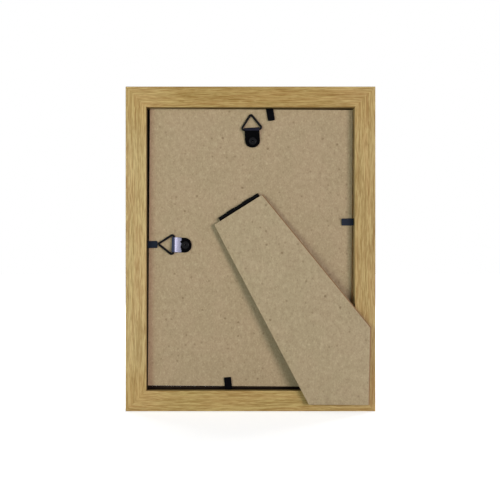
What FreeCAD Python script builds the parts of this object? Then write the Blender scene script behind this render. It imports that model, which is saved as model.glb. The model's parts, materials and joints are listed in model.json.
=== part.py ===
import FreeCAD, Part
import math
import os

# Easel back photo frame, upright, with its strut folded against the back.
# Lengths are in millimetres and angles in degrees. X runs along the bottom edge, Y from the
# front of the frame to its back, Z up. The origin is the middle of the bottom edge, half way
# through the moulding. Left and right are as seen from behind, so left is towards +X.

# Board, glass and paper
board_width = 131.1
board_height = 179.0
board_thickness = 3.0
board_turn = 0.42
board_left_of_middle = 0.13
board_touch_gap = 0.1
glass_thickness = 2.0
glass_play = 1.5
paper_thickness = 0.3
paper_play = 2.9

# Moulding
rebate_play_across = 1.3
rebate_play_upright = 1.35
moulding_back_width = 13.15
moulding_front_width = 18.0
moulding_depth = 16.0
lip_thickness = 5.2
front_edge_radius = 1.0
lip_edge_radius = 0.8
rebate_edge_radius = 0.25
back_edge_radius = 0.5

# Nails across the mitres
nail_leg = 5.0
nail_thickness = 0.5
nail_height = 7.0
nail_inset = 9.0
nail_sink = 1.5

# Flexible retaining tabs, each named by the piece of moulding that holds it
tab_width = 4.6
tab_thickness = 0.35
tab_reach = 8.1
tab_corner_radius = 0.7
tab_tilt = 2.0
tab_lift = 0.35
tab_buried_length = 9.0
tab_bend_stand_off = 0.6
tab_bend_clearance = 0.04
tab_top_place = 12.4
tab_bottom_place = 14.1
tab_right_place = -17.4
tab_left_place = 2.9
tab_ring_gap = 0.35
tab_top_lean = 9.0
tab_bottom_lean = 6.0

# Strut hinge
hinge_left_of_middle = 7.38
hinge_above_middle = 26.98
hinge_turn = 32.15
barrel_length = 30.1
barrel_radius = 1.3
barrel_lift = 0.05
knuckle_count = 5
knuckle_gap = 0.1
hinge_pin_radius = 0.55
hinge_pin_clearance = 0.05
leaf_thickness = 0.4
leaf_depth = 14.5
leaf_gap = 0.08
leaf_setback = 0.25
strut_opening = 30.0
stop_margin = 1.5
stop_overreach = 0.25
stop_spread = 30.0
prong_width = 1.2
prong_height = 2.0
prong_end_margin = 4.05
prong_spacing_down = 6.0
hinge_rivet_radius = 1.0
hinge_rivet_head_radius = 1.8
hinge_rivet_head_height = 0.35
hinge_rivet_end_margin = 5.05
hinge_rivet_count = 3
hinge_rivet_down = 10.0
hinge_rivet_edge_radius = 0.12

# Easel strut
strut_thickness = 3.0
strut_head_setback = 0.1
strut_head_overhang_right = 2.1
strut_head_overhang_left = 4.6
strut_bottom_margin = 5.0
strut_bottom_width = 38.5
strut_side_margin_low = 4.5
strut_side_margin_high = 3.2
strut_side_length = 49.1
strut_rest_clearance = 0.03

# Hangers: a folded strap, a wire ring and a hollow rivet
strap_width = 9.65
strap_thickness = 0.5
strap_end_radius = 4.6
strap_end_reach = 4.1
strap_slope_start = 2.6
ring_axis_reach = 7.45
ring_wire_radius = 0.7
ring_clearance = 0.05
ring_half_base = 7.1
ring_height = 10.06
ring_corner_radius = 1.15
ring_apex_radius = 0.9
ring_board_gap = 0.05
hanger_rivet_radius = 1.5
hanger_rivet_clearance = 0.05
hanger_rivet_head_radius = 2.5
hanger_rivet_head_height = 0.75
hanger_rivet_head_edge = 0.5
hanger_eyelet_radius = 0.7
clinch_radius = 2.3
clinch_height = 0.45
clinch_sink = 0.05
top_hanger_right_of_middle = 1.35
top_hanger_below_wall = 21.25
top_hanger_turn = 3.7
side_hanger_from_wall = 24.7
side_hanger_above_middle = 2.4
side_hanger_turn = 87.3

# Overrun of every cutting body
cut_overrun = 1.0

# Sizes that follow from the values above
opening_width = board_width + 2 * rebate_play_across
opening_height = board_height + 2 * rebate_play_upright
frame_width = opening_width + 2 * moulding_back_width
frame_height = opening_height + 2 * moulding_back_width
middle_z = frame_height / 2
front_y = -moulding_depth / 2
back_y = moulding_depth / 2
glass_front_y = front_y + lip_thickness
paper_front_y = glass_front_y + glass_thickness
board_front_y = paper_front_y + paper_thickness
board_back_y = board_front_y + board_thickness
hinge_x = hinge_left_of_middle
hinge_z = middle_z + hinge_above_middle
hinge_axis_height = barrel_radius + barrel_lift
hinge_axis_y = board_back_y + hinge_axis_height
stop_reach = hinge_axis_height + stop_overreach
leaf_start = barrel_radius + leaf_setback
strut_head_start = barrel_radius + strut_head_setback
strut_leaf_bottom = leaf_thickness + leaf_gap - hinge_axis_height
strut_inner_y = strut_leaf_bottom + leaf_thickness
fold_inner_radius = ring_wire_radius + ring_clearance
fold_outer_radius = fold_inner_radius + strap_thickness
tab_axis_y = board_back_y + tab_lift + tab_thickness / 2
ring_half_angle = math.atan(ring_half_base / ring_height)
ring_apex_reach = ring_height - ring_apex_radius / math.sin(ring_half_angle) + ring_apex_radius
hanger_reach = ring_axis_reach + ring_apex_reach + ring_wire_radius
tab_left_reach = side_hanger_from_wall - hanger_reach - tab_ring_gap
top_hanger_z = middle_z + opening_height / 2 - top_hanger_below_wall
side_hanger_x = opening_width / 2 - side_hanger_from_wall

origin = FreeCAD.Vector(0, 0, 0)
x_axis = FreeCAD.Vector(1, 0, 0)
y_axis = FreeCAD.Vector(0, 1, 0)


def save(name, *solids):
    """Write one sub-part: a single solid, or a group of alike solids."""
    shape = solids[0] if len(solids) == 1 else Part.makeCompound(list(solids))
    shape.exportStep(os.path.join("parts", name + ".step"))


def box(x_low, x_high, y_low, y_high, z_low, z_high):
    corner = FreeCAD.Vector(x_low, y_low, z_low)
    return Part.makeBox(x_high - x_low, y_high - y_low, z_high - z_low, corner)


def rod(radius, start, end):
    return Part.makeCylinder(radius, (end - start).Length, start, end - start)


def one_solid(shape):
    return shape.removeSplitter().Solids[0]


def placed(shape, turn, x, y, z):
    """Turn a shape about Y, then move it to its place."""
    moved = shape.copy()
    moved.rotate(origin, y_axis, turn)
    moved.translate(FreeCAD.Vector(x, y, z))
    return moved


def tilted(shape, angle):
    """Tip a shape about the X axis, so that what hangs down moves to the back."""
    moved = shape.copy()
    moved.rotate(origin, x_axis, angle)
    return moved


def rounded_wire(corners, radii):
    """A closed outline of straight runs, with an arc at each corner that has a radius."""
    starts = []
    ends = []
    edges = []
    count = len(corners)
    for index in range(count):
        corner = corners[index]
        to_last = (corners[index - 1] - corner).normalize()
        to_next = (corners[(index + 1) % count] - corner).normalize()
        half_angle = to_last.getAngle(to_next) / 2
        trim = radii[index] / math.tan(half_angle)
        starts.append(corner + to_last * trim)
        ends.append(corner + to_next * trim)
        if radii[index] > 0:
            to_centre = (to_last + to_next).normalize()
            middle = corner + to_centre * (radii[index] / math.sin(half_angle) - radii[index])
            edges.append(Part.Arc(starts[index], middle, ends[index]).toShape())
        else:
            edges.append(None)
    outline = []
    for index in range(count):
        if edges[index]:
            outline.append(edges[index])
        outline.append(Part.LineSegment(ends[index], starts[(index + 1) % count]).toShape())
    return Part.Wire(outline)


def plate_from(corners, radii, direction):
    return Part.Face(rounded_wire(corners, radii)).extrude(direction)


# Moulding

def moulding_length(length):
    """One mitred length, lying along X with its outer edge at Z = 0 and its rebate upwards."""
    half = length / 2
    lip_y = front_y + lip_thickness
    section = [
        FreeCAD.Vector(-half, front_y, 0),
        FreeCAD.Vector(-half, front_y, moulding_front_width),
        FreeCAD.Vector(-half, lip_y, moulding_front_width),
        FreeCAD.Vector(-half, lip_y, moulding_back_width),
        FreeCAD.Vector(-half, back_y, moulding_back_width),
        FreeCAD.Vector(-half, back_y, 0),
    ]
    radii = [front_edge_radius, lip_edge_radius, 0, 0, rebate_edge_radius, back_edge_radius]
    stick = plate_from(section, radii, x_axis * length)
    mitre = [
        FreeCAD.Vector(-half, front_y, 0),
        FreeCAD.Vector(half, front_y, 0),
        FreeCAD.Vector(half - moulding_front_width, front_y, moulding_front_width),
        FreeCAD.Vector(-half + moulding_front_width, front_y, moulding_front_width),
    ]
    wedge = Part.Face(Part.makePolygon(mitre + mitre[:1])).extrude(y_axis * moulding_depth)
    return stick.common(wedge)


def mitre_nail(side, from_bottom):
    """An angled nail, one leg in each piece of moulding, at one corner of the frame."""
    inner = nail_inset
    shoulder = nail_inset - nail_thickness
    tip = nail_inset - nail_leg
    outer_side = [(inner, tip), (inner, inner), (tip, inner)]
    inner_side = [(tip, shoulder), (shoulder, shoulder), (shoulder, tip)]
    top_y = back_y - nail_sink
    points = []
    for across, up in outer_side + inner_side:
        x = side * (frame_width / 2 - across)
        z = up if from_bottom else frame_height - up
        points.append(FreeCAD.Vector(x, top_y, z))
    return Part.Face(Part.makePolygon(points + points[:1])).extrude(y_axis * -nail_height)


# Each wall of the rebate: turn about Y, place of its outer edge, length
walls = {
    "bottom": (0, 0, 0, frame_width),
    "left": (-90, frame_width / 2, middle_z, frame_height),
    "top": (180, 0, frame_height, frame_width),
    "right": (90, -frame_width / 2, middle_z, frame_height),
}


# Flexible tabs: place along the wall, lean within the plane of the board, reach
tabs = {
    "bottom": (tab_bottom_place, tab_bottom_lean, tab_reach),
    "left": (tab_left_place, 0, tab_left_reach),
    "top": (tab_top_place, tab_top_lean, tab_reach),
    "right": (tab_right_place, 0, tab_reach),
}


def tab_blade(reach):
    """The bendable end, from its bend line at the origin towards +Z, tipped off the board."""
    half = tab_width / 2
    rounding = tab_thickness / 2
    length = reach - tab_bend_stand_off
    plan = [
        FreeCAD.Vector(-half, -rounding, 0),
        FreeCAD.Vector(half, -rounding, 0),
        FreeCAD.Vector(half, -rounding, length),
        FreeCAD.Vector(-half, -rounding, length),
    ]
    blade = plate_from(plan, [0, 0, tab_corner_radius, tab_corner_radius], y_axis * tab_thickness)
    root = rod(rounding, x_axis * -half, x_axis * half)
    return tilted(one_solid(blade.fuse(root)), -tab_tilt)


def tab_shank():
    """The end that is driven into the moulding, below the bend line."""
    half = tab_width / 2
    rounding = tab_thickness / 2
    start = -rounding - tab_bend_clearance
    end = -tab_bend_stand_off - tab_buried_length
    return box(-half, half, -rounding, rounding, end, start)


def tab_place(wall):
    """Turn, X and Z of a tab's bend line."""
    turn, x, z, length = walls[wall]
    place, lean, reach = tabs[wall]
    inward = moulding_back_width + tab_bend_stand_off
    angle = math.radians(turn)
    bend_x = x + place * math.cos(angle) + inward * math.sin(angle)
    bend_z = z - place * math.sin(angle) + inward * math.cos(angle)
    return turn + lean, bend_x, bend_z


# Board, paper and glass

def board_middle_z():
    """Height of the board's middle, with its upper left corner almost against the rebate."""
    turn = math.radians(board_turn)
    reach_up = (board_height * math.cos(turn) + board_width * math.sin(turn)) / 2
    return middle_z + opening_height / 2 - reach_up - board_touch_gap


def sheet(width, height, y_low, thickness, z_middle):
    return box(-width / 2, width / 2, y_low, y_low + thickness, z_middle - height / 2, z_middle + height / 2)


def back_board():
    """The board, a little to the left in its rebate and turned clockwise as seen from behind."""
    flat = sheet(board_width, board_height, 0, board_thickness, 0)
    return placed(flat, -board_turn, board_left_of_middle, board_front_y, board_middle_z())


# Strut hinge, built about its axis along X, with the strut hanging towards -Z

def knuckle_ends(index):
    pitch = barrel_length / knuckle_count
    start = -barrel_length / 2 + index * pitch
    low = start + (knuckle_gap / 2 if index > 0 else 0)
    high = start + pitch - (knuckle_gap / 2 if index < knuckle_count - 1 else 0)
    return low, high


def hinge_leaf(first_knuckle, leaf_bottom, bore_radius, with_stops):
    """A leaf with every second knuckle of the barrel."""
    half = barrel_length / 2
    leaf_top = leaf_bottom + leaf_thickness
    shape = box(-half, half, leaf_bottom, leaf_top, -leaf_start - leaf_depth, -leaf_start)
    for index in range(first_knuckle, knuckle_count, 2):
        low, high = knuckle_ends(index)
        shape = shape.fuse(rod(barrel_radius, x_axis * low, x_axis * high))
        shape = shape.fuse(box(low, high, leaf_bottom, leaf_top, -leaf_start, 0))
        if with_stops:
            shape = shape.fuse(stop_lug(low, high))
    bore = rod(bore_radius, x_axis * (-half - cut_overrun), x_axis * (half + cut_overrun))
    return one_solid(shape.cut(bore))


def stop_lug(low, high):
    """A lug under the knuckle that meets the board when the strut is fully open."""
    at_stop = rest_tilt() + strut_opening + stop_margin
    first = math.radians(at_stop) - math.asin(hinge_axis_height / stop_reach)
    last = first + math.radians(stop_spread)
    points = [FreeCAD.Vector(low, 0, 0)]
    for angle in (first, last):
        points.append(FreeCAD.Vector(low, stop_reach * math.sin(angle), stop_reach * math.cos(angle)))
    return Part.Face(Part.makePolygon(points + points[:1])).extrude(x_axis * (high - low))


def prong_centres():
    across = barrel_length / 2 - prong_end_margin
    middle = -leaf_start - leaf_depth / 2
    for x in (-across, across):
        for z in (middle - prong_spacing_down / 2, middle + prong_spacing_down / 2):
            yield x, z


def prongs():
    """Teeth of the strut's leaf, pressed into the strut from its inner side."""
    teeth = []
    for x, z in prong_centres():
        low = x - prong_width / 2
        tip_y = strut_inner_y + prong_height
        teeth.append(box(low, low + prong_width, strut_inner_y, tip_y, z, z + leaf_thickness))
    return teeth


def hinge_rivet_places():
    span = barrel_length - 2 * hinge_rivet_end_margin
    return [(index / (hinge_rivet_count - 1) - 1 / 2) * span for index in range(hinge_rivet_count)]


def rivet(radius, head_radius, head_height, head_edge, grip, eyelet_radius):
    """A rivet along Y: its head stands on Y = 0 and its clinched end lies grip below."""
    low = -grip - clinch_height
    shank = rod(radius, y_axis * low, y_axis * head_height)
    head = rod(head_radius, origin, y_axis * head_height)
    rim = [edge for edge in head.Edges if edge.BoundBox.YMin > head_height / 2]
    head = head.makeFillet(head_edge, rim)
    clinch = rod(clinch_radius, y_axis * low, y_axis * -grip)
    shape = shank.fuse(head).fuse(clinch)
    if eyelet_radius > 0:
        eyelet_top = head_height + cut_overrun
        shape = shape.cut(rod(eyelet_radius, y_axis * (low - cut_overrun), y_axis * eyelet_top))
    return one_solid(shape)


def rivet_room(radius, depth):
    """The hole and the sunk seat that a rivet fills in the board, measured from the board's back."""
    front = -board_thickness - cut_overrun
    seat = rod(clinch_radius, y_axis * front, y_axis * -depth)
    return seat.fuse(rod(radius, y_axis * front, y_axis * cut_overrun))


def on_hinge(shape, from_board):
    """Bring a shape from the hinge's own axes to the frame, Y measured from the board's back."""
    y = board_back_y if from_board else hinge_axis_y
    return placed(shape, hinge_turn, hinge_x, y, hinge_z)


# Easel strut

def hinge_to_frame(along, down):
    turn = math.radians(hinge_turn)
    x = hinge_x + along * math.cos(turn) - down * math.sin(turn)
    z = hinge_z - along * math.sin(turn) - down * math.cos(turn)
    return x, z


def frame_to_hinge(x, z):
    turn = math.radians(hinge_turn)
    along = (x - hinge_x) * math.cos(turn) - (z - hinge_z) * math.sin(turn)
    down = -(x - hinge_x) * math.sin(turn) - (z - hinge_z) * math.cos(turn)
    return along, down


def strut_corners():
    """Corners of the strut over the frame, as (x, z): head left, head right, then round the foot."""
    head_left = hinge_to_frame(barrel_length / 2 + strut_head_overhang_left, strut_head_start)
    head_right = hinge_to_frame(-barrel_length / 2 - strut_head_overhang_right, strut_head_start)
    low_x = strut_side_margin_low - frame_width / 2
    high_x = strut_side_margin_high - frame_width / 2
    side_high = (high_x, strut_bottom_margin + strut_side_length)
    foot_right = (low_x, strut_bottom_margin)
    foot_left = (low_x + strut_bottom_width, strut_bottom_margin)
    return head_left, head_right, side_high, foot_right, foot_left


def rest_tilt():
    """Angle off the board at which the folded strut lies on the inner edge of the moulding."""
    head_left, head_right, side_high, foot_right, foot_left = strut_corners()
    edge_x = -opening_width / 2
    share_side = (edge_x - head_right[0]) / (side_high[0] - head_right[0])
    side_z = head_right[1] + share_side * (side_high[1] - head_right[1])
    edge_z = moulding_back_width
    share_low = (edge_z - head_left[1]) / (foot_left[1] - head_left[1])
    low_x = head_left[0] + share_low * (foot_left[0] - head_left[0])
    nearest = min(frame_to_hinge(edge_x, side_z)[1], frame_to_hinge(low_x, edge_z)[1])
    rise = back_y + strut_rest_clearance - hinge_axis_y
    slope = math.atan2(rise, nearest) - math.asin(strut_inner_y / math.hypot(nearest, rise))
    return math.degrees(slope)


def easel_strut():
    """The strut in the hinge's own axes, lying flat, before it is tipped to its rest."""
    stretch = 1 / math.cos(math.radians(rest_tilt()))
    points = []
    for x, z in strut_corners():
        along, down = frame_to_hinge(x, z)
        points.append(FreeCAD.Vector(along, strut_inner_y, -down * stretch))
    return Part.Face(Part.makePolygon(points + points[:1])).extrude(y_axis * strut_thickness)


# Hangers, built with the rivet's axis along Y at the origin and the ring towards +Z

def hanger_strap():
    """A strap folded round the ring's base: two layers that part towards the fold."""
    two_layers = 2 * strap_thickness
    end_z = -strap_end_reach
    to_slope_z = strap_slope_start - ring_axis_reach
    to_slope_y = two_layers - fold_outer_radius
    bearing = math.atan2(to_slope_y, to_slope_z) % math.tau
    bearing = bearing - math.acos(fold_outer_radius / math.hypot(to_slope_z, to_slope_y))
    half = strap_width / 2
    side = -half

    def at(z, y):
        return FreeCAD.Vector(side, y, z)

    def on_fold(radius):
        z = ring_axis_reach + radius * math.cos(bearing)
        return at(z, fold_outer_radius + radius * math.sin(bearing))

    outer_far = at(ring_axis_reach + fold_outer_radius, fold_outer_radius)
    outer = [
        Part.LineSegment(at(end_z, 0), at(ring_axis_reach, 0)).toShape(),
        Part.Arc(at(ring_axis_reach, 0), outer_far, on_fold(fold_outer_radius)).toShape(),
        Part.LineSegment(on_fold(fold_outer_radius), at(strap_slope_start, two_layers)).toShape(),
        Part.LineSegment(at(strap_slope_start, two_layers), at(end_z, two_layers)).toShape(),
        Part.LineSegment(at(end_z, two_layers), at(end_z, 0)).toShape(),
    ]
    top_inside = on_fold(fold_inner_radius)
    slope = (at(strap_slope_start, two_layers) - on_fold(fold_outer_radius)).normalize()
    fall = (top_inside.y - strap_thickness) / -slope.y
    meeting = top_inside + slope * fall
    inner_far = at(ring_axis_reach + fold_inner_radius, fold_outer_radius)
    inner = [
        Part.LineSegment(meeting, at(ring_axis_reach, strap_thickness)).toShape(),
        Part.Arc(at(ring_axis_reach, strap_thickness), inner_far, top_inside).toShape(),
        Part.LineSegment(top_inside, meeting).toShape(),
    ]
    strap = Part.Face(Part.Wire(outer)).extrude(x_axis * strap_width)
    strap = strap.cut(Part.Face(Part.Wire(inner)).extrude(x_axis * strap_width))
    front_z = ring_axis_reach + fold_outer_radius + cut_overrun
    plan = [
        FreeCAD.Vector(-half, -cut_overrun, end_z),
        FreeCAD.Vector(half, -cut_overrun, end_z),
        FreeCAD.Vector(half, -cut_overrun, front_z),
        FreeCAD.Vector(-half, -cut_overrun, front_z),
    ]
    height = 2 * fold_outer_radius + 2 * cut_overrun
    strap = strap.common(plate_from(plan, [strap_end_radius, strap_end_radius, 0, 0], y_axis * height))
    hole_radius = hanger_rivet_radius + hanger_rivet_clearance
    hole = rod(hole_radius, y_axis * -cut_overrun, y_axis * (two_layers + cut_overrun))
    return one_solid(strap.cut(hole))


def hanger_ring():
    """A triangular wire ring about its own base axis, leaning on the board."""
    corners = [
        FreeCAD.Vector(-ring_half_base, 0, 0),
        FreeCAD.Vector(ring_half_base, 0, 0),
        FreeCAD.Vector(0, 0, ring_height),
    ]
    path = rounded_wire(corners, [ring_corner_radius, ring_corner_radius, ring_apex_radius])
    start = path.Edges[0].valueAt(path.Edges[0].FirstParameter)
    heading = path.Edges[0].tangentAt(path.Edges[0].FirstParameter)
    section = Part.Wire(Part.Circle(start, heading, ring_wire_radius).toShape())
    ring = path.makePipeShell([section], True, False)
    return tilted(ring, ring_rest_tilt())


def ring_rest_tilt():
    drop = fold_outer_radius - ring_wire_radius - ring_board_gap
    return math.degrees(math.asin(drop / ring_apex_reach))


def hanger_rivet():
    grip = 2 * strap_thickness + hanger_rivet_clearance + board_thickness - clinch_height - clinch_sink
    return rivet(
        hanger_rivet_radius,
        hanger_rivet_head_radius,
        hanger_rivet_head_height,
        hanger_rivet_head_edge,
        grip,
        hanger_eyelet_radius,
    )


hangers = {
    "top": (top_hanger_turn, -top_hanger_right_of_middle, top_hanger_z),
    "side": (side_hanger_turn, side_hanger_x, middle_z + side_hanger_above_middle),
}


def build_moulding(shanks):
    nails = []
    for side in (-1, 1):
        for from_bottom in (True, False):
            nails.append(mitre_nail(side, from_bottom))
    save("corner_nails", *nails)
    names = {"bottom": "rail_bottom", "left": "stile_left", "top": "rail_top", "right": "stile_right"}
    for wall, name in names.items():
        turn, x, z, length = walls[wall]
        piece = placed(moulding_length(length), turn, x, 0, z)
        piece = piece.cut(Part.makeCompound(nails + [shanks[wall]]))
        save(name, one_solid(piece))


def build_tabs():
    shanks = {}
    for wall, (place, lean, reach) in tabs.items():
        turn, x, z = tab_place(wall)
        save("flex_tab_" + wall, placed(tab_blade(reach), turn, x, tab_axis_y, z))
        shanks[wall] = placed(tab_shank(), turn, x, tab_axis_y, z)
    save("flex_tab_shanks", *shanks.values())
    return shanks


def build_hinge(board):
    """The hinge and the strut. Returns the board with the rivets' holes in it."""
    fixed_leaf = hinge_leaf(0, -hinge_axis_height, hinge_pin_radius, False)
    moving_leaf = hinge_leaf(1, strut_leaf_bottom, hinge_pin_radius + hinge_pin_clearance, True)
    moving_leaf = one_solid(moving_leaf.multiFuse(prongs()))
    strut = easel_strut().cut(Part.makeCompound(prongs()))
    grip = leaf_thickness + board_thickness - clinch_height - clinch_sink
    rivets = []
    for x in hinge_rivet_places():
        fastener = rivet(
            hinge_rivet_radius,
            hinge_rivet_head_radius,
            hinge_rivet_head_height,
            hinge_rivet_edge_radius,
            grip,
            0,
        )
        place = FreeCAD.Vector(x, leaf_thickness, -hinge_rivet_down)
        fastener.translate(place)
        rivets.append(on_hinge(fastener, True))
        room = rivet_room(hinge_rivet_radius, board_thickness - clinch_height - clinch_sink)
        room.translate(FreeCAD.Vector(x, 0, -hinge_rivet_down))
        board = board.cut(on_hinge(room, True))
        shank_room = rod(hinge_rivet_radius, y_axis * -cut_overrun, y_axis * cut_overrun)
        shank_room.translate(FreeCAD.Vector(x, -hinge_axis_height + leaf_thickness / 2, -hinge_rivet_down))
        fixed_leaf = fixed_leaf.cut(shank_room)
    half = barrel_length / 2
    pin = rod(hinge_pin_radius, x_axis * -half, x_axis * half)
    save("hinge_board_leaf", on_hinge(one_solid(fixed_leaf), False))
    save("hinge_board_rivets", *rivets)
    save("hinge_pin", on_hinge(pin, False))
    save("hinge_strut_leaf", on_hinge(tilted(moving_leaf, rest_tilt()), False))
    save("easel_strut", on_hinge(tilted(one_solid(strut), rest_tilt()), False))
    return board


def build_hangers(board):
    """Both hangers. Returns the board with the rivets' holes in it."""
    for name, (turn, x, z) in hangers.items():
        head_seat = 2 * strap_thickness + hanger_rivet_clearance
        fastener = placed(hanger_rivet(), turn, x, board_back_y + head_seat, z)
        room = rivet_room(hanger_rivet_radius, board_thickness - clinch_height - clinch_sink)
        board = board.cut(placed(room, turn, x, board_back_y, z))
        ring = hanger_ring()
        ring.translate(FreeCAD.Vector(0, fold_outer_radius, ring_axis_reach))
        save(name + "_hanger_plate", placed(hanger_strap(), turn, x, board_back_y, z))
        save(name + "_hanger_ring", placed(ring, turn, x, board_back_y, z))
        save(name + "_hanger_rivet", fastener)
    return board


os.makedirs("parts", exist_ok=True)
build_moulding(build_tabs())
paper_width = opening_width - 2 * paper_play
paper_height = opening_height - 2 * paper_play
glass_width = opening_width - 2 * glass_play
glass_height = opening_height - 2 * glass_play
save("glass_pane", sheet(glass_width, glass_height, glass_front_y, glass_thickness, middle_z))
save("paper_insert", sheet(paper_width, paper_height, paper_front_y, paper_thickness, middle_z))
save("back_board", one_solid(build_hangers(build_hinge(back_board()))))
print("frame", frame_width, frame_height, moulding_depth, "strut at rest", round(rest_tilt(), 3))
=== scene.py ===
import json
import math

import bmesh
import bpy
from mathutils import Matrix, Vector

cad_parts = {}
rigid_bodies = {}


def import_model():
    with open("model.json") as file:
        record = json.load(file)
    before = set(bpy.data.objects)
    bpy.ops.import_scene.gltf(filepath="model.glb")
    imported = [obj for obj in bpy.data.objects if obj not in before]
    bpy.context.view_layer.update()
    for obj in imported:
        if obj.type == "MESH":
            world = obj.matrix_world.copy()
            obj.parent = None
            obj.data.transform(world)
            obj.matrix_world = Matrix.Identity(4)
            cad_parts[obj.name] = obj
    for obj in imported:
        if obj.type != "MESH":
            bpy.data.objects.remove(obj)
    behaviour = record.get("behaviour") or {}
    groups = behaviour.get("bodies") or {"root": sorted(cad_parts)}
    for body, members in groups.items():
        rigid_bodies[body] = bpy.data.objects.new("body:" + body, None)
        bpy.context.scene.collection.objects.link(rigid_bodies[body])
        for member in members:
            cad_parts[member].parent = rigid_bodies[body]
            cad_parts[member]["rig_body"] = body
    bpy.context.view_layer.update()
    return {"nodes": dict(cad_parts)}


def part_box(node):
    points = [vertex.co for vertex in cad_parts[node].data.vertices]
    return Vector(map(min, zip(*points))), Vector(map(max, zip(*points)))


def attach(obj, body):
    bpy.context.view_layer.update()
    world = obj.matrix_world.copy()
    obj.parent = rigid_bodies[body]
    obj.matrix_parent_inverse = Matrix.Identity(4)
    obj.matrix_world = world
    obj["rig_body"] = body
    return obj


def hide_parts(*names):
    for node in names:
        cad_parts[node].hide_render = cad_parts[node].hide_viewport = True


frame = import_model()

# Easel back photo frame, seen from behind with its strut folded. Lengths are in metres unless
# a name says millimetres. Left and right are as seen from behind, so left is towards +X.

MM = 0.001

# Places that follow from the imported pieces
frame_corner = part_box("stile_left")[1]
FRAME_WIDTH = 2 * frame_corner.x
FRAME_HEIGHT = frame_corner.z
HALF_WIDTH = FRAME_WIDTH / 2
MIDDLE_Z = FRAME_HEIGHT / 2
BACK_Y = frame_corner.y
BOARD_LEFT_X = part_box("back_board")[1].x
TOP_STRAP_END_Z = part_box("top_hanger_plate")[1].z
SIDE_STRAP_END_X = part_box("side_hanger_plate")[1].x

# Moulding: how far inside its outer edge the rebate starts, and how far back the painted shade
# on the rebate's walls, painted light on the right one, is full, and how far from the mitres the
# corner tone starts and is full
REBATE_WALL = 13.1 * MM
LIP_Y = -2.85 * MM
PAINTED_REBATE_FULL_Y = 0.5 * MM
MITRE_TONE_START = 40 * MM
MITRE_TONE_FULL = 10 * MM

# Straps: how far the fold and the slope reach from the end that holds the ring, how soft the
# edges of the painted sheen on their folds are, and how far the edge of the side strap's painted
# highlight waves
TOP_FOLD_REACH = 2.5 * MM
SIDE_FOLD_REACH = 2.4 * MM
SIDE_SLOPE_REACH = 6.4 * MM
TOP_FOLD_BLUR = 0.3 * MM
SIDE_FOLD_BLUR = 0.2 * MM
HIGHLIGHT_START = 0.1 * MM
HIGHLIGHT_FULL = 0.3 * MM
HIGHLIGHT_WAVES = 5.5 * MM
TOP_FOLD_Z = TOP_STRAP_END_Z - TOP_FOLD_REACH
SIDE_FOLD_X = SIDE_STRAP_END_X - SIDE_FOLD_REACH
SIDE_SLOPE_X = SIDE_STRAP_END_X - SIDE_SLOPE_REACH

# Relief of the finishes, sway of the oak's grain, width of the pinkish painted shade down the
# board's left edge, and radius of the outer edges that get painted shade on the oak and a painted
# highlight on the boards
PORE_DEPTH = 0.03 * MM
FIBRE_HEIGHT = 0.06 * MM
RIPPLE_HEIGHT = 0.05 * MM
PULP_HEIGHT = 0.02 * MM
GRAIN_SWAY = 2.2 * MM
LEFT_SHADE_WIDTH = 6 * MM
PAINTED_EDGE_RADIUS = 0.35 * MM

# Roundings of the edges, and how near two corners of a mesh lie that are made one
BOARD_ROUNDING = 0.3 * MM
BOARD_SIDE_ROUNDING = 0.9 * MM
STRUT_ROUNDING = 0.25 * MM
STRUT_SIDE_ROUNDING = 1.1 * MM
STRAP_ROUNDING = 0.09 * MM
TAB_ROUNDING = 0.07 * MM
LEAF_ROUNDING = 0.05 * MM
GLASS_ROUNDING = 0.2 * MM
PAPER_ROUNDING = 0.03 * MM
MERGE_REACH = 0.0001 * MM

# Angles in degrees: the least one between two faces that stays sharp, for straps and for the
# rest, the least one that gets a rounding, and the most that still counts as flat
STRAP_CREASE = 16
CREASE = 28
ROUNDED_ANGLE = 35
FLAT_ANGLE = 0.3


def colour(red, green, blue):
    """A colour as it looks on a screen, 0 to 255 each, as the linear colour a shader takes."""
    def linear(value):
        share = value / 255
        return share / 12.92 if share <= 0.04045 else ((share + 0.055) / 1.055) ** 2.4
    return (linear(red), linear(green), linear(blue), 1.0)


# Painted shade along the oak's outer edges
PAINTED_OAK_EDGE_SHADE = colour(160, 128, 80)
BOARD_FLECK = colour(116, 95, 70)
BOARD_PALE = colour(190, 174, 144)
# Painted pinkish shade down the board's left edge
PAINTED_LEFT_SHADE = colour(188, 146, 118)
# Painted highlight along the boards' outer edges
PAINTED_BOARD_EDGE_HIGHLIGHT = colour(186, 170, 141)
LACQUER_DUST = colour(120, 120, 125)
LACQUER_SHEEN = (0.93, 0.92, 1.0, 1.0)
# Painted sheen along the folds of the hanger straps
TOP_FOLD_SHEEN = colour(33, 33, 44)
SIDE_FOLD_SHEEN = colour(62, 67, 90)
# Bright metal for the painted highlight on the side strap's slope
HIGHLIGHT_STEEL = (0.118, 0.124, 0.166, 1.0)
NAIL_DARK = colour(150, 152, 156)
NAIL_BRIGHT = colour(190, 191, 194)
GLASS_TINT = colour(253, 254, 254)
PAPER_DARK = colour(238, 236, 229)
PAPER_BRIGHT = colour(243, 241, 236)
PAPER_PULP = colour(228, 225, 216)
FLOOR_DARK = (0.8, 0.8, 0.8, 1.0)
FLOOR_BRIGHT = (0.82, 0.82, 0.82, 1.0)
SKY_TINT = (0.72, 1.0, 1.6, 1.0)
WHITE = (1.0, 1.0, 1.0, 1.0)

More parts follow.
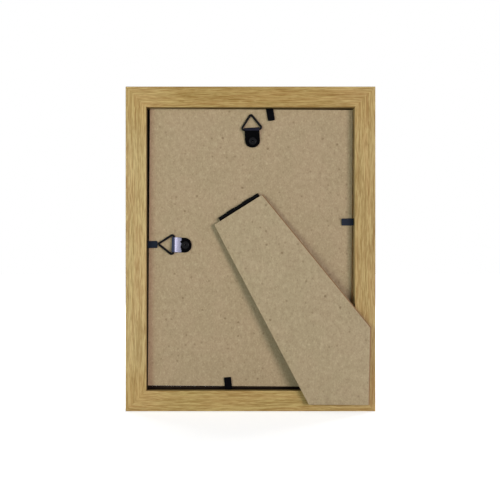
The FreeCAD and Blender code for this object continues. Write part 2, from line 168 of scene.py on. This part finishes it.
# Noise patterns: their step in millimetres along X, Y and Z, their detail and their roughness.
# Oak has its grain along X.
patterns = {
    "sway": ((38, 9, 9), 1.0, 0.5),
    "broad streaks": ((60, 2.0, 2.0), 2.0, 0.55),
    "fine lines": ((34, 0.58, 0.58), 3.0, 0.7),
    "short lines": ((8, 0.5, 0.5), 2.0, 0.6),
    "oak tint": ((45, 3.4, 3.4), 1.0, 0.5),
    "pores": ((3.4, 0.2, 0.2), 1.0, 0.5),
    "board patches": ((16, 16, 16), 2.0, 0.5),
    "board blotches": ((2.4, 2.4, 3.4), 3.0, 0.6),
    "board grain": ((0.9, 0.9, 1.3), 2.0, 0.65),
    "lacquer ripple": ((1.3, 1.3, 1.3), 2.0, 0.5),
    "lacquer specks": ((0.16, 0.16, 0.16), 1.0, 0.5),
    "lacquer smudges": ((4.0, 4.0, 4.0), 3.0, 0.5),
    "edge patches": ((2.2, 2.2, 2.2), 3.0, 0.5),
    "highlight edge": ((2.6, 2.6, 2.6), 2.0, 0.6),
    "paper pulp": ((0.5, 0.5, 0.5), 3.0, 0.6),
    "paper clouds": ((6, 6, 6), 2.0, 0.5),
    "floor clouds": ((40, 40, 40), 2.0, 0.5),
}

# Values of the pores' pattern where a pore starts and where it is full
PORE_SPAN = (0.62, 0.74)

# Layers of colour over a shade: the pattern, its values where the layer starts to show and
# where it is full, the layer's greatest share and its colour
oak_layers = (
    ("oak tint", (0.42, 0.66), 0.42, "Warm"),
    ("fine lines", (0.5, 0.63), 0.64, "Light"),
    ("fine lines", (0.5, 0.37), 0.5, "Dark"),
    ("short lines", (0.5, 0.68), 0.75, "Light"),
    ("short lines", (0.5, 0.32), 0.65, "Dark"),
    ("pores", PORE_SPAN, 0.3, "Dark"),
)
board_layers = (
    ("board patches", (0.36, 0.64), 0.75, "Warm"),
    ("board blotches", (0.5, 0.7), 0.3, "Pale"),
    ("board blotches", (0.5, 0.3), 0.18, "Fleck"),
    ("board grain", (0.47, 0.24), 0.38, "Fleck"),
    ("board grain", (0.52, 0.76), 0.55, "Pale"),
)

# Flecks in the board: the step between them in millimetres, their radius in steps, the share
# of places without one, their strength and their colour. Each is full over a share of its
# radius and fades out from there.
board_flecks = (
    (5.5, 0.2, 0.5, 0.42, "Fleck"),
    (9.0, 0.13, 0.45, 0.62, "Fleck"),
    (8.5, 0.12, 0.55, 0.55, "Pale"),
)
FLECK_CORE_SHARE = 1 / 3

# Share of the broad streaks in the oak's colour, of the painted shade along the oak's edges and the
# painted highlight along the boards' edges, and of dust on lacquer
STREAK_SHARE = 0.46
OAK_EDGE_SHADE_SHARE = 0.35
BOARD_EDGE_HIGHLIGHT_SHARE = 0.4
DUST_SHARE = 0.05

# Values of a pattern, or of a facing, between which something turns from one into another
STREAK_SPAN = (0.36, 0.64)
SPECK_SPAN = (0.68, 0.76)
SMUDGE_SPAN = (0.3, 0.7)
GLASS_SMUDGE_SPAN = (0.4, 0.8)
PULP_SPAN = (0.5, 0.8)
OAK_HEIGHT_SPAN = (0.2, 0.8)
PAINTED_EDGE_FACING_SPAN = (0.995, 0.85)
EDGE_PATCH_SPAN = (0.35, 0.6)
CUT_FACING_SPAN = (0.985, 0.9)

# Roughness of the finishes between those values, and the greatest share of the pulp's colour
OAK_ROUGHNESS = (0.66, 0.54)
NAIL_ROUGHNESS = (0.25, 0.45)
GLASS_ROUGHNESS = (0.0, 0.03)
PULP_LEVELS = (0.0, 0.3)

# How much a face has to look one way to count: on the slope of the side strap, on the back
# or a side of the board, and on the right of the strut
OUTWARD_FACING = 0.7
SQUARE_FACING = 0.9
RIGHT_FACING = 0.3


# Shader building

def put(tree, kind, inputs=None, **settings):
    """Add a shader node. Each input is a value, or the socket that feeds it."""
    node = tree.nodes.new("ShaderNode" + kind)
    for name, value in settings.items():
        setattr(node, name, value)
    fill(tree, node, inputs or {})
    return node


def fill(tree, node, inputs):
    """Give each of a node's inputs its value, or link it to the socket that feeds it."""
    for name, value in inputs.items():
        if isinstance(value, bpy.types.NodeSocket):
            tree.links.new(value, node.inputs[name])
        else:
            node.inputs[name].default_value = value


def feed(tree, shader, **values):
    """Fill a shader's inputs, each by its name with underscores."""
    fill(tree, shader, {name.replace("_", " "): value for name, value in values.items()})


def calc(tree, operation, first, second):
    return put(tree, "Math", {0: first, 1: second}, operation=operation).outputs[0]


def times(tree, first, second):
    return calc(tree, "MULTIPLY", first, second)


def mixed(tree, share, first, second):
    return put(tree, "Mix", {0: share, 6: first, 7: second}, data_type="RGBA").outputs[2]


def axes(tree, vector):
    return put(tree, "SeparateXYZ", {0: vector}).outputs


def own_place(tree):
    return put(tree, "TexCoord").outputs["Object"]


def facing_back(tree):
    """How much a face looks towards the back, from -1 to 1."""
    return axes(tree, put(tree, "TexCoord").outputs["Normal"])["Y"]


def between(tree, value, span, levels=(0.0, 1.0)):
    """Turn the span of a value into two levels, eased at both ends."""
    low, high = span
    to_low, to_high = levels
    inputs = {"Value": value, "From Min": low, "From Max": high, "To Min": to_low, "To Max": to_high}
    return put(tree, "MapRange", inputs, interpolation_type="SMOOTHSTEP").outputs[0]


def in_steps(tree, place, step_mm):
    """A place in pattern steps, from a step's length in millimetres along each axis."""
    steps = tuple(1 / (length * MM) for length in step_mm)
    return put(tree, "VectorMath", {0: place, 1: steps}, operation="MULTIPLY").outputs[0]


def pattern(tree, place, name):
    """The named noise pattern at a place."""
    step_mm, detail, roughness = patterns[name]
    inputs = {"Vector": in_steps(tree, place, step_mm), "Detail": detail, "Roughness": roughness}
    return put(tree, "TexNoise", {**inputs, "Scale": 1.0}).outputs[0]


def swing(tree, place, name, reach):
    """The named pattern as a length that swings to both sides of zero, reach long in all."""
    noise_middle = 0.5
    around_zero = calc(tree, "SUBTRACT", pattern(tree, place, name), noise_middle)
    return times(tree, around_zero, reach)


def layered(tree, shade, noises, layers, colours):
    """A shade with layers of colour over it. Noises and colours are looked up by name."""
    for noise, span, share, name in layers:
        amount = between(tree, noises[noise], span, (0.0, share))
        shade = mixed(tree, amount, shade, colours[name])
    return shade


def bumped(tree, height, distance, strength):
    inputs = {"Height": height, "Distance": distance, "Strength": strength}
    return put(tree, "Bump", inputs).outputs[0]


def seen(tree):
    """One for rays that show a thing, straight, mirrored or through glass, and else zero."""
    path = put(tree, "LightPath").outputs
    mirrored = calc(tree, "MAXIMUM", path["Is Camera Ray"], path["Is Glossy Ray"])
    return calc(tree, "MAXIMUM", mirrored, path["Is Transmission Ray"])


def shader_group(name, inputs, outputs):
    """A node group with named sockets. Returns its tree, what comes in, and what goes out."""
    tree = bpy.data.node_groups.new(name, "ShaderNodeTree")
    kinds = {"vector": "NodeSocketVector", "colour": "NodeSocketColor", "value": "NodeSocketFloat"}
    for socket_name, kind in inputs.items():
        tree.interface.new_socket(socket_name, in_out="INPUT", socket_type=kinds[kind])
    for socket_name, kind in outputs.items():
        tree.interface.new_socket(socket_name, in_out="OUTPUT", socket_type=kinds[kind])
    source = tree.nodes.new("NodeGroupInput")
    sink = tree.nodes.new("NodeGroupOutput")
    return tree, source.outputs, sink.inputs


def placed_group(tree, group, inputs):
    node = tree.nodes.new("ShaderNodeGroup")
    node.node_tree = group
    fill(tree, node, inputs)
    return node.outputs


def new_material(name):
    """A material with an empty tree, its Principled shader and its output."""
    material = bpy.data.materials.new(name)
    material.use_nodes = True
    tree = material.node_tree
    tree.nodes.clear()
    shader = put(tree, "BsdfPrincipled")
    sink = put(tree, "OutputMaterial")
    tree.links.new(shader.outputs[0], sink.inputs[0])
    return material, tree, shader


# Effects that several materials share

def oak_grain_group():
    """Oak grain along X, with streaks, fine lines and pores, from a place in metres."""
    tree, source, sink = shader_group(
        "oak grain",
        {"Place": "vector", "Body": "colour", "Light": "colour", "Dark": "colour", "Warm": "colour"},
        {"Colour": "colour", "Height": "value"},
    )
    sway = swing(tree, source["Place"], "sway", GRAIN_SWAY)
    shift = put(tree, "CombineXYZ", {"X": 0.0, "Y": sway, "Z": sway}).outputs[0]
    place = put(tree, "VectorMath", {0: source["Place"], 1: shift}, operation="ADD").outputs[0]
    names = ("broad streaks", "fine lines", "short lines", "oak tint", "pores")
    noises = {name: pattern(tree, place, name) for name in names}
    streaks = between(tree, noises["broad streaks"], STREAK_SPAN)
    streaked = mixed(tree, streaks, source["Dark"], source["Light"])
    shade = mixed(tree, STREAK_SHARE, source["Body"], streaked)
    shade = layered(tree, shade, noises, oak_layers, source)
    pores = between(tree, noises["pores"], PORE_SPAN)
    tree.links.new(shade, sink["Colour"])
    tree.links.new(calc(tree, "SUBTRACT", noises["fine lines"], pores), sink["Height"])
    return tree


def board_fibre_group():
    """Pressed fibres: soft mottling, fine grain, and sparse dark and pale flecks."""
    tree, source, sink = shader_group(
        "board fibre",
        {"Place": "vector", "Face": "colour", "Warm": "colour", "Fleck": "colour", "Pale": "colour"},
        {"Colour": "colour", "Height": "value"},
    )
    names = ("board patches", "board blotches", "board grain")
    noises = {name: pattern(tree, source["Place"], name) for name in names}
    shade = layered(tree, source["Face"], noises, board_layers, source)
    for step_mm, radius, empty_share, strength, name in board_flecks:
        place = in_steps(tree, source["Place"], (step_mm, step_mm, step_mm))
        cells = put(tree, "TexVoronoi", {"Vector": place, "Scale": 1.0}).outputs
        draw = put(tree, "SeparateColor", {0: cells["Color"]}).outputs[0]
        chosen = calc(tree, "GREATER_THAN", draw, empty_share)
        fleck = between(tree, cells["Distance"], (radius, radius * FLECK_CORE_SHARE))
        shade = mixed(tree, times(tree, times(tree, chosen, fleck), strength), shade, source[name])
    tree.links.new(shade, sink["Colour"])
    tree.links.new(noises["board grain"], sink["Height"])
    return tree


def lacquer_group():
    """Unevenness of a thin lacquer: a slow ripple, small specks of dust, and smudges."""
    tree, source, sink = shader_group(
        "lacquer skin",
        {"Place": "vector"},
        {"Ripple": "value", "Specks": "value", "Smudge": "value"},
    )
    specks = pattern(tree, source["Place"], "lacquer specks")
    tree.links.new(pattern(tree, source["Place"], "lacquer ripple"), sink["Ripple"])
    tree.links.new(between(tree, specks, SPECK_SPAN), sink["Specks"])
    tree.links.new(pattern(tree, source["Place"], "lacquer smudges"), sink["Smudge"])
    return tree


def painted_edge_group():
    """A mask of outer edges, where the rounded normal leaves the flat one, in patches, that carries
    painted edge shade and painted edge highlight.
    """
    tree, source, sink = shader_group("painted edge", {"Place": "vector"}, {"Mask": "value"})
    rounded = put(tree, "Bevel", {"Radius": PAINTED_EDGE_RADIUS}, samples=4).outputs[0]
    flat = put(tree, "NewGeometry").outputs["Normal"]
    same = put(tree, "VectorMath", {0: rounded, 1: flat}, operation="DOT_PRODUCT").outputs["Value"]
    edge = between(tree, same, PAINTED_EDGE_FACING_SPAN)
    patchy = between(tree, pattern(tree, source["Place"], "edge patches"), EDGE_PATCH_SPAN)
    tree.links.new(times(tree, edge, patchy), sink["Mask"])
    return tree


grain_group = oak_grain_group()
fibre_group = board_fibre_group()
skin_group = lacquer_group()
edge_group = painted_edge_group()


# Materials

def painted(tree, shade, place, share, edge_paint):
    """A shade that turns by a share towards edge_paint along outer edges, as painted shade on the
    oak and a painted highlight on the boards.
    """
    mask = placed_group(tree, edge_group, {"Place": place})["Mask"]
    return mixed(tree, times(tree, mask, share), shade, edge_paint)


def lacquer_skin(tree):
    return placed_group(tree, skin_group, {"Place": own_place(tree)})


# Offsets of the oak's colours from the mean colour of a length, and its mean near the mitres
grain_offsets = {
    "Body": (0, 0, 0),
    "Light": (21, 25, 23),
    "Dark": (-32, -36, -32),
    "Warm": (6, -6, -2),
}
corner_tone = (174, 147, 94)


def oak_shades(tree, tone, corner):
    """Each colour of the grain, around the length's tone, and the corner tone where that is due."""
    shades = {}
    for part, offset in grain_offsets.items():
        own = colour(*[level + step for level, step in zip(tone, offset)])
        shared = colour(*[level + step for level, step in zip(corner_tone, offset)])
        shades[part] = mixed(tree, corner, own, shared)
    return shades


def oak(wall, turn, outer_x, outer_z, length, run, tone, painted_rebate_tone, painted_rebate_share):
    """Oak for one length of moulding, its grain turned to run along it.

    The middle of its outer edge is at outer_x and outer_z, and lies run metres round the frame,
    so that the streaks go on round the mitres. The tone is the length's mean colour, 0 to 255
    each. On its way to the glass the rebate's wall turns towards painted_rebate_tone, by
    painted_rebate_share: painted shade deep in the rebate, and painted light on the right wall.
    """
    material, tree, shader = new_material("oak_" + wall)
    radians = math.radians(turn)
    along = Vector((math.cos(radians), 0, -math.sin(radians)))
    outer = Vector((outer_x, 0, outer_z)) - along * run
    mapping = {"Vector": own_place(tree), "Location": outer, "Rotation": (0, radians, 0)}
    place = put(tree, "Mapping", mapping, vector_type="TEXTURE").outputs[0]
    parts = axes(tree, place)
    from_middle = calc(tree, "ABSOLUTE", calc(tree, "SUBTRACT", parts["X"], run), 0)
    mitre = length / 2
    corner = between(tree, from_middle, (mitre - MITRE_TONE_START, mitre - MITRE_TONE_FULL))
    grain = placed_group(tree, grain_group, {"Place": place, **oak_shades(tree, tone, corner)})
    # Painted shade along the oak's outer edges, in patches
    shade = painted(tree, grain["Colour"], place, OAK_EDGE_SHADE_SHARE, PAINTED_OAK_EDGE_SHADE)
    inner = calc(tree, "GREATER_THAN", parts["Z"], REBATE_WALL)
    in_rebate = times(tree, inner, calc(tree, "GREATER_THAN", parts["Y"], LIP_Y))
    # Painted shade deep in the rebate towards the glass, and painted light on the right wall
    painted_rebate_amount = between(tree, parts["Y"], (BACK_Y, PAINTED_REBATE_FULL_Y), (0.0, painted_rebate_share))
    shade = mixed(tree, times(tree, in_rebate, painted_rebate_amount), shade, colour(*painted_rebate_tone))
    feed(tree, shader, Base_Color=shade, Specular_IOR_Level=0.12)
    feed(tree, shader, Roughness=between(tree, grain["Height"], OAK_HEIGHT_SPAN, OAK_ROUGHNESS))
    feed(tree, shader, Normal=bumped(tree, grain["Height"], PORE_DEPTH, strength=0.5))
    return material


# Fibre boards: the tones of the face, of its warmer patches and of the cut edges, and the
# share of a pinkish painted shade down the left edge
fibre_tones = {
    "board_fibres": ((163, 146, 117), (167, 148, 120), (160, 120, 92), 0.3),
    "strut_fibres": ((165, 150, 121), (168, 151, 123), (140, 112, 82), 0.0),
}


def fibre_board(name):
    """Bare fibre board, browner where it is cut, with a pinkish painted shade down its left edge."""
    face_tone, warm_tone, cut_tone, left_shade_share = fibre_tones[name]
    material, tree, shader = new_material(name)
    place = own_place(tree)
    shades = {"Face": colour(*face_tone), "Warm": colour(*warm_tone)}
    shades.update({"Fleck": BOARD_FLECK, "Pale": BOARD_PALE})
    fibre = placed_group(tree, fibre_group, {"Place": place, **shades})
    # Painted shade: pinkish, down the board's left edge
    left_shade_span = (BOARD_LEFT_X - LEFT_SHADE_WIDTH, BOARD_LEFT_X)
    left_shade = between(tree, axes(tree, place)["X"], left_shade_span, (0.0, left_shade_share))
    face = mixed(tree, left_shade, fibre["Colour"], PAINTED_LEFT_SHADE)
    cut = between(tree, calc(tree, "ABSOLUTE", facing_back(tree), 0), CUT_FACING_SPAN)
    shade = mixed(tree, cut, face, colour(*cut_tone))
    # Painted highlight along the board's outer edges, in patches
    shade = painted(tree, shade, place, BOARD_EDGE_HIGHLIGHT_SHARE, PAINTED_BOARD_EDGE_HIGHLIGHT)
    feed(tree, shader, Base_Color=shade, Roughness=0.85, Specular_IOR_Level=0.15)
    feed(tree, shader, Normal=bumped(tree, fibre["Height"], FIBRE_HEIGHT, strength=0.6))
    return material


# Black finishes: the tone, the roughness, the specular level and the strength of the ripple
black_finishes = {
    "top_strap_lacquer": ((3, 3, 4), 0.3, 0.02, 0.35),
    "side_strap_lacquer": ((3, 3, 4), 0.3, 0.02, 0.35),
    "rivet_lacquer": ((8, 8, 10), 0.3, 0.11, 0.2),
    "ring_lacquer": ((8, 8, 11), 0.35, 0.07, 0.2),
    "hinge_lacquer": ((4, 4, 5), 0.45, 0.04, 0.2),
    "tab_lacquer": ((4, 4, 6), 0.38, 0.03, 0.2),
    # Painted sheen: the left and right blades get paler bluish copies of the black tab finish
    "tab_painted_sheen": ((18, 25, 38), 0.38, 0.09, 0.2),
    "tab_painted_blue_sheen": ((24, 31, 44), 0.38, 0.1, 0.2),
}
SHINY_SHARE = 0.8
DULL_SHARE = 1.25


def lacquered_steel(name):
    """Steel under a thin black lacquer. Also returns what another finish over it needs."""
    tone, roughness, specular, ripple_strength = black_finishes[name]
    material, tree, shader = new_material(name)
    skin = lacquer_skin(tree)
    dusty = mixed(tree, times(tree, skin["Specks"], DUST_SHARE), colour(*tone), LACQUER_DUST)
    levels = (roughness * SHINY_SHARE, roughness * DULL_SHARE)
    feed(tree, shader, Base_Color=dusty, Specular_IOR_Level=specular, Specular_Tint=LACQUER_SHEEN)
    feed(tree, shader, Roughness=between(tree, skin["Smudge"], SMUDGE_SPAN, levels))
    feed(tree, shader, Normal=bumped(tree, skin["Ripple"], RIPPLE_HEIGHT, ripple_strength))
    return material, tree, shader, dusty


def black_steel(name):
    return lacquered_steel(name)[0]


def top_strap_steel():
    """Black steel with a paler painted sheen along the fold that holds the ring."""
    material, tree, shader, black = lacquered_steel("top_strap_lacquer")
    height = axes(tree, own_place(tree))["Z"]
    fold_sheen = between(tree, height, (TOP_FOLD_Z, TOP_FOLD_Z + TOP_FOLD_BLUR))
    feed(tree, shader, Base_Color=mixed(tree, fold_sheen, black, TOP_FOLD_SHEEN))
    return material


def side_strap_steel():
    """Black steel with a paler painted sheen along its fold, and a painted highlight of bright metal
    on its slope up to a wavy edge.
    """
    material, tree, shader, black = lacquered_steel("side_strap_lacquer")
    place = axes(tree, own_place(tree))
    fold_sheen = between(tree, place["X"], (SIDE_FOLD_X, SIDE_FOLD_X + SIDE_FOLD_BLUR))
    down_slope = put(tree, "CombineXYZ", {"X": 0.0, "Y": 0.0, "Z": place["Z"]}).outputs[0]
    wavy_x = calc(tree, "ADD", place["X"], swing(tree, down_slope, "highlight edge", HIGHLIGHT_WAVES))
    highlight = between(tree, wavy_x, (SIDE_SLOPE_X + HIGHLIGHT_START, SIDE_SLOPE_X + HIGHLIGHT_FULL))
    outward = calc(tree, "GREATER_THAN", facing_back(tree), OUTWARD_FACING)
    sloped = times(tree, outward, calc(tree, "SUBTRACT", 1.0, fold_sheen))
    # Painted highlight: bright metal only on the outward slope past the fold, up to a wavy edge
    highlight_patch = times(tree, sloped, highlight)
    shade = mixed(tree, fold_sheen, black, SIDE_FOLD_SHEEN)
    feed(tree, shader, Base_Color=mixed(tree, highlight_patch, shade, HIGHLIGHT_STEEL), Metallic=highlight_patch)
    return material


def nail_steel():
    material, tree, shader = new_material("nail_steel")
    smudge = lacquer_skin(tree)["Smudge"]
    feed(tree, shader, Base_Color=mixed(tree, smudge, NAIL_DARK, NAIL_BRIGHT), Metallic=1.0)
    feed(tree, shader, Roughness=between(tree, smudge, SMUDGE_SPAN, NAIL_ROUGHNESS))
    return material


def clear_glass():
    """Glass that bends what is seen through it, and lets light fall on the paper behind it."""
    material, tree, shader = new_material("float_glass")
    smudge = lacquer_skin(tree)["Smudge"]
    feed(tree, shader, Base_Color=GLASS_TINT, Transmission_Weight=1.0, IOR=1.5)
    feed(tree, shader, Roughness=between(tree, smudge, GLASS_SMUDGE_SPAN, GLASS_ROUGHNESS))
    surface = shader.outputs[0].links[0].to_socket
    path = put(tree, "LightPath").outputs
    lighting = calc(tree, "MAXIMUM", path["Is Shadow Ray"], path["Is Diffuse Ray"])
    let_through = put(tree, "BsdfTransparent").outputs[0]
    blend = put(tree, "MixShader", {0: lighting, 1: shader.outputs[0], 2: let_through})
    tree.links.new(blend.outputs[0], surface)
    return material


def blank_paper():
    material, tree, shader = new_material("blank_paper")
    place = own_place(tree)
    pulp = pattern(tree, place, "paper pulp")
    shade = mixed(tree, pattern(tree, place, "paper clouds"), PAPER_DARK, PAPER_BRIGHT)
    shade = mixed(tree, between(tree, pulp, PULP_SPAN, PULP_LEVELS), shade, PAPER_PULP)
    feed(tree, shader, Base_Color=shade, Roughness=0.8, Specular_IOR_Level=0.25)
    feed(tree, shader, Normal=bumped(tree, pulp, PULP_HEIGHT, strength=0.4))
    return material


# Pieces

def coat(obj, material):
    """Put one material on every slot of an object."""
    if not obj.data.materials:
        obj.data.materials.append(material)
    for index in range(len(obj.data.materials)):
        obj.data.materials[index] = material


def looks_back(normal):
    return normal.y > SQUARE_FACING


def looks_sideways(normal):
    """For faces on either side of the upright board."""
    return abs(normal.x) > SQUARE_FACING


def looks_right(normal):
    """For faces down the right of the strut."""
    return normal.x < -RIGHT_FACING


def bevel_edges(work, edges, width, segments):
    settings = {"offset_type": "OFFSET", "segments": segments, "profile": 0.5, "affect": "EDGES"}
    bmesh.ops.bevel(work, geom=edges, offset=width, clamp_overlap=True, **settings)
    work.normal_update()


def outer_edges(work, is_side):
    """Edges where a face that is_side picks meets one that looks back."""
    chosen = []
    for edge in work.edges:
        normals = [face.normal for face in edge.link_faces]
        if any(map(looks_back, normals)) and any(map(is_side, normals)):
            chosen.append(edge)
    return chosen


def soft_edged(node, name, material, width, is_side=None, side_width=0, crease=CREASE):
    """Stand a copy with rounded edges in for a CAD node that has sharp ones.

    The outer edges of the faces that is_side picks get the wider rounding, side_width.
    """
    source = frame["nodes"][node]
    mesh = bpy.data.meshes.new(name)
    work = bmesh.new()
    work.from_mesh(source.data)
    bmesh.ops.remove_doubles(work, verts=work.verts, dist=MERGE_REACH)
    flat = math.radians(FLAT_ANGLE)
    bmesh.ops.dissolve_limit(work, angle_limit=flat, verts=work.verts, edges=work.edges)
    work.normal_update()
    if is_side:
        bevel_edges(work, outer_edges(work, is_side), side_width, segments=4)
    sharp = [edge for edge in work.edges if edge.calc_face_angle(0) > math.radians(ROUNDED_ANGLE)]
    bevel_edges(work, sharp, width, segments=2)
    work.to_mesh(mesh)
    work.free()
    piece = bpy.data.objects.new(name, mesh)
    bpy.context.scene.collection.objects.link(piece)
    mesh.shade_smooth()
    mesh.set_sharp_from_angle(angle=math.radians(crease))
    flatten = piece.modifiers.new("flat faces stay flat", "WEIGHTED_NORMAL")
    flatten.keep_sharp = True
    coat(piece, material)
    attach(piece, source["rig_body"])
    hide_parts(node)
    return piece


# Lengths of moulding in their order round the frame: the node, the turn in degrees, the middle
# of the outer edge along X and Z, and the length
walls = {
    "bottom": ("rail_bottom", 0, 0, 0, FRAME_WIDTH),
    "left": ("stile_left", -90, HALF_WIDTH, MIDDLE_Z, FRAME_HEIGHT),
    "top": ("rail_top", 180, 0, FRAME_HEIGHT, FRAME_WIDTH),
    "right": ("stile_right", 90, -HALF_WIDTH, MIDDLE_Z, FRAME_HEIGHT),
}

# Their tones: the mean, the one that the rebate's wall turns to, and the share of that. The rebate's
# tone is painted shade on the bottom, left and top walls, and painted light on the right one.
wall_tones = {
    "bottom": ((171, 146, 91), (22, 8, 3), 0.99),
    "left": ((180, 156, 107), (12, 7, 4), 0.985),
    "top": ((164, 137, 82), (12, 7, 4), 0.6),
    "right": ((172, 147, 97), (222, 192, 138), 0.9),
}


def moulding():
    """The four lengths, with a grain that goes on round the mitres."""
    run = 0
    for wall, (node, *place, length) in walls.items():
        wood = oak(wall, *place, length, run + length / 2, *wall_tones[wall])
        coat(frame["nodes"][node], wood)
        run += length


def board_and_strut():
    board = soft_edged(
        "back_board", "back_board_panel", fibre_board("board_fibres"), BOARD_ROUNDING,
        is_side=looks_sideways, side_width=BOARD_SIDE_ROUNDING)
    strut = soft_edged(
        "easel_strut", "easel_strut_panel", fibre_board("strut_fibres"), STRUT_ROUNDING,
        is_side=looks_right, side_width=STRUT_SIDE_ROUNDING)


def hangers():
    """The straps, rings and rivets of the top hanger and the side one."""
    ring_black = black_steel("ring_lacquer")
    rivet_black = black_steel("rivet_lacquer")
    for side, steel in (("top", top_strap_steel()), ("side", side_strap_steel())):
        node, name = side + "_hanger_plate", side + "_hanger_strap"
        strap = soft_edged(node, name, steel, STRAP_ROUNDING, crease=STRAP_CREASE)
        coat(frame["nodes"][side + "_hanger_ring"], ring_black)
        coat(frame["nodes"][side + "_hanger_rivet"], rivet_black)


def tabs():
    """The blades of the four flexible tabs, and their ends in the wood."""
    black = black_steel("tab_lacquer")
    # The left and right blades get a painted bluish sheen
    finishes = {
        "top": black,
        "right": black_steel("tab_painted_blue_sheen"),
        "bottom": black,
        "left": black_steel("tab_painted_sheen"),
    }
    for side, finish in finishes.items():
        blade = soft_edged("flex_tab_" + side, side + "_tab_blade", finish, TAB_ROUNDING)
    coat(frame["nodes"]["flex_tab_shanks"], black)


def hinge():
    """The strut's hinge: both leaves, the pin, and the rivets through the board."""
    black = black_steel("hinge_lacquer")
    for part in ("board", "strut"):
        leaf = soft_edged("hinge_" + part + "_leaf", part + "_leaf", black, LEAF_ROUNDING)
    for node in ("hinge_board_rivets", "hinge_pin"):
        coat(frame["nodes"][node], black)


def glass_and_paper():
    glass = soft_edged("glass_pane", "glass_sheet", clear_glass(), GLASS_ROUNDING)
    paper = soft_edged("paper_insert", "paper_sheet", blank_paper(), PAPER_ROUNDING)


def corner_nails():
    coat(frame["nodes"]["corner_nails"], nail_steel())


moulding()
board_and_strut()
hangers()
tabs()
hinge()
glass_and_paper()
corner_nails()


# Floor, light and camera

# Floor: how far from its middle its glow rises, and between which levels
FLOOR_RADIUS = 3.0
FLOOR_Z = -0.2 * MM
GLOW_SPAN = (0.3, 0.9)
GLOW_LEVELS = (0.72, 1.0)
WORLD_LEVEL = 0.05

# Square lamps that are aimed at the middle of the frame. The angles are in degrees from
# straight behind it, towards its right and upwards. The level is how bright a white surface
# that faces the lamp would look by this light alone.
lamps = {
    "key": {"side": 36, "height": 3, "distance": 3.0, "size": 1.25, "level": 0.87},
    "fill": {"side": -40, "height": 4, "distance": 1.0, "size": 0.48, "level": 0.48},
    "front_key": {"side": 140, "height": 35, "distance": 0.9, "size": 0.5, "level": 0.62},
    "front_fill": {"side": -145, "height": 25, "distance": 0.9, "size": 0.5, "level": 0.42},
}
lamp_tints = {"key": (1.08, 0.965, 0.95), "fill": (0.92, 1.04, 0.92)}
PLAIN_TINT = (1.0, 1.0, 1.0)

# Camera: where it is, and what one pixel of the image shows at the moulding's back
CAMERA_X = 0.32 * MM
CAMERA_Z = 103.3 * MM
CAMERA_DISTANCE = 520 * MM
PIXEL = 0.64 * MM
IMAGE_PIXELS = 500
SENSOR_WIDTH_MM = 36


def pale_floor():
    """A wide floor that looks white to the camera and still takes the object's shadow."""
    disc = {"vertices": 96, "radius": FLOOR_RADIUS, "fill_type": "NGON"}
    bpy.ops.mesh.primitive_circle_add(location=(0, 0, FLOOR_Z), **disc)
    floor = bpy.context.object
    floor.name = "floor"
    material, tree, shader = new_material("pale_floor")
    place = own_place(tree)
    shade = mixed(tree, pattern(tree, place, "floor clouds"), FLOOR_DARK, FLOOR_BRIGHT)
    feed(tree, shader, Base_Color=shade, Roughness=0.9, Specular_IOR_Level=0.0)
    away = put(tree, "VectorMath", {0: place}, operation="LENGTH").outputs["Value"]
    glow = times(tree, seen(tree), between(tree, away, GLOW_SPAN, GLOW_LEVELS))
    feed(tree, shader, Emission_Color=WHITE, Emission_Strength=glow)
    coat(floor, material)


def studio_world():
    """Even light all round at a low level, which looks white where it is seen."""
    world = bpy.data.worlds.new("studio")
    bpy.context.scene.world = world
    world.use_nodes = True
    tree = world.node_tree
    tree.nodes.clear()
    shown = seen(tree)
    strength = calc(tree, "ADD", times(tree, shown, 1 - WORLD_LEVEL), WORLD_LEVEL)
    tint = mixed(tree, shown, SKY_TINT, WHITE)
    background = put(tree, "Background", {"Color": tint, "Strength": strength})
    tree.links.new(background.outputs[0], put(tree, "OutputWorld").inputs[0])


def soft_lamp(name, side, height, distance, size, level):
    side = math.radians(side)
    height = math.radians(height)
    reach = math.cos(height)
    ray = Vector((-math.sin(side) * reach, math.cos(side) * reach, math.sin(height)))
    data = bpy.data.lights.new(name, "AREA")
    data.shape = "SQUARE"
    data.size = size
    data.energy = level * math.pi ** 2 * distance ** 2
    data.color = lamp_tints.get(name, PLAIN_TINT)
    lamp = bpy.data.objects.new(name, data)
    lamp.location = Vector((0, 0, MIDDLE_Z)) + ray * distance
    lamp.rotation_euler = ray.to_track_quat("Z", "Y").to_euler()
    bpy.context.scene.collection.objects.link(lamp)


def camera():
    """A camera straight behind the frame, at the height of its middle."""
    data = bpy.data.cameras.new("camera")
    data.sensor_width = SENSOR_WIDTH_MM
    data.lens = SENSOR_WIDTH_MM * CAMERA_DISTANCE / (IMAGE_PIXELS * PIXEL)
    viewer = bpy.data.objects.new("camera", data)
    viewer.location = (CAMERA_X, BACK_Y + CAMERA_DISTANCE, CAMERA_Z)
    viewer.rotation_euler = (math.radians(90), 0, math.radians(180))
    bpy.context.scene.collection.objects.link(viewer)
    bpy.context.scene.camera = viewer


pale_floor()
studio_world()
for lamp_name, settings in lamps.items():
    soft_lamp(lamp_name, **settings)
camera()

bpy.context.scene.view_settings.view_transform = "Standard"
